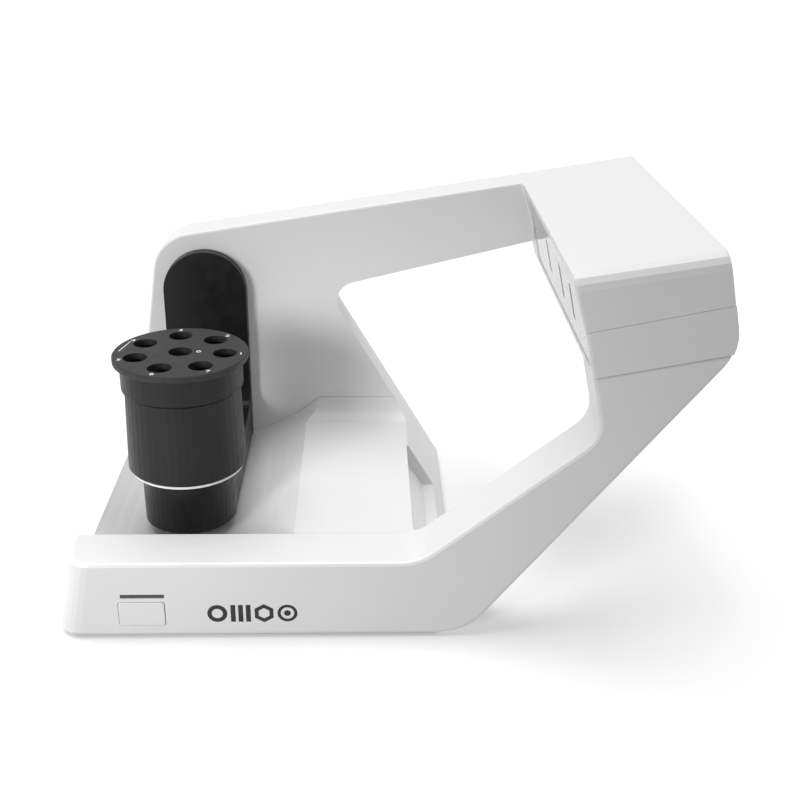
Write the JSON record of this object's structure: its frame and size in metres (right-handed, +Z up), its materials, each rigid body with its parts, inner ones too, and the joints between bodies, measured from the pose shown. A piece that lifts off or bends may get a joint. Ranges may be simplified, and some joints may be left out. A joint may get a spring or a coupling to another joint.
{
  "type": "desktop dental scanner",
  "caption": "Open-frame desktop 3-D scanner with an angled optics head over a swinging, rotating turntable that carries a lift-off tray for dental dies.",
  "frame": {"origin": "under the middle of the overall box, at table level", "axes": "+X from the stage side towards the optics head, +Y from the front lip to the rear wall, +Z up"},
  "size_m": [0.4231, 0.2639, 0.2636],
  "materials": {
    "white_shell": "satin white moulded plastic",
    "rear_cover_grey": "fine matte light grey plastic",
    "base_plate_steel": "dark grey powder coated steel",
    "foot_rubber": "matte black rubber",
    "arm_black": "satin to gloss black plastic",
    "drum_black": "satin black plastic",
    "tray_black": "fine matte black plastic",
    "light_ring_white": "white light guide",
    "optics_panel_gloss": "glossy grey panel",
    "lens_window_glass": "clear coated glass",
    "optics_body_black": "black anodised housing",
    "lens_barrel": "black anodised barrel",
    "bracket_aluminium": "machined aluminium",
    "circuit_board": "green solder mask",
    "motor_steel": "dark steel motor case",
    "bright_steel": "ground steel",
    "gear_brass": "hobbed brass",
    "button_white": "satin white plastic",
    "status_bar_smoke": "smoked translucent plastic",
    "cable_black": "black cable jacket",
    "port_plastic": "black plastic"
  },
  "bodies": {
    "frame": {"ambient_sensor": "circuit_board", "base_bottom_plate": "base_plate_steel", "base_housing": "white_shell", "button_spring": "bright_steel", "camera_left": "optics_body_black", "camera_right": "optics_body_black", "cover_screw_1": "bright_steel", "cover_screw_2": "bright_steel", "cover_screw_3": "bright_steel", "cover_screw_4": "bright_steel", "cover_screw_5": "bright_steel", "foot_front_left": "foot_rubber", "foot_front_right": "foot_rubber", "foot_rear_left": "foot_rubber", "foot_rear_right": "foot_rubber", "head_band": "white_shell", "head_cable": "cable_black", "lens_center": "lens_barrel", "lens_left": "lens_barrel", "lens_right": "lens_barrel", "mainboard": "circuit_board", "motor_driver_board": "circuit_board", "optics_bracket": "bracket_aluminium", "optics_panel": "optics_panel_gloss", "power_jack": "port_plastic", "projector": "optics_body_black", "rear_cover": "rear_cover_grey", "socket_panel": "port_plastic", "status_bar": "status_bar_smoke", "swing_bearing": "bright_steel", "swing_motor": "motor_steel", "swing_motor_bracket": "bracket_aluminium", "switch_board": "circuit_board", "upper_housing": "white_shell", "usb_socket": "port_plastic", "window_center": "lens_window_glass", "window_left": "lens_window_glass", "window_right": "lens_window_glass"},
    "swing_arm_group": {"swing_arm": "arm_black", "swing_shaft": "bright_steel", "swing_gear": "gear_brass", "turntable_motor": "motor_steel", "motor_cup_lid": "arm_black", "turntable_bearing": "bright_steel", "light_ring": "light_ring_white"},
    "pinion_group": {"swing_pinion": "bright_steel"},
    "turntable_group": {"turntable_drum": "drum_black", "spindle": "bright_steel"},
    "tray_group": {"tray_cup": "drum_black", "die_tray": "tray_black"},
    "button_group": {"scan_button": "button_white"},
    "rocker_group": {"power_rocker": "port_plastic"}
  },
  "joints": [
    {"name": "arm_swing", "type": "hinge", "parent": "frame", "child": "swing_arm_group", "pos_m": [-0.1342, 0.09875, 0.1649], "axis": [0, 1, 0], "range_deg": [-35, 35]},
    {"name": "pinion_spin", "type": "hinge", "parent": "frame", "child": "pinion_group", "pos_m": [-0.1342, 0.10985, 0.13475], "axis": [0, 1, 0], "range_deg": [-142, 142]},
    {"name": "turntable_spin", "type": "hinge", "parent": "swing_arm_group", "child": "turntable_group", "pos_m": [-0.1342, -0.03685, 0.083], "axis": [0, 0, 1], "continuous": true},
    {"name": "tray_lift", "type": "slide", "parent": "turntable_group", "child": "tray_group", "axis": [0, 0, 1], "range_m": [0, 0.06]},
    {"name": "button_press", "type": "slide", "parent": "frame", "child": "button_group", "axis": [0, 1, 0], "range_m": [0, 0.0012], "stiffness_N_per_m": 400, "springref_m": -0.002, "deforming": ["button_spring"]},
    {"name": "power_rock", "type": "hinge", "parent": "frame", "child": "rocker_group", "pos_m": [-0.0054, 0.12985, 0.0245], "axis": [1, 0, 0], "range_deg": [0, 8]}
  ],
  "couplings": [
    {"joint": "pinion_spin", "follows": "arm_swing", "ratio": -4}
  ]
}
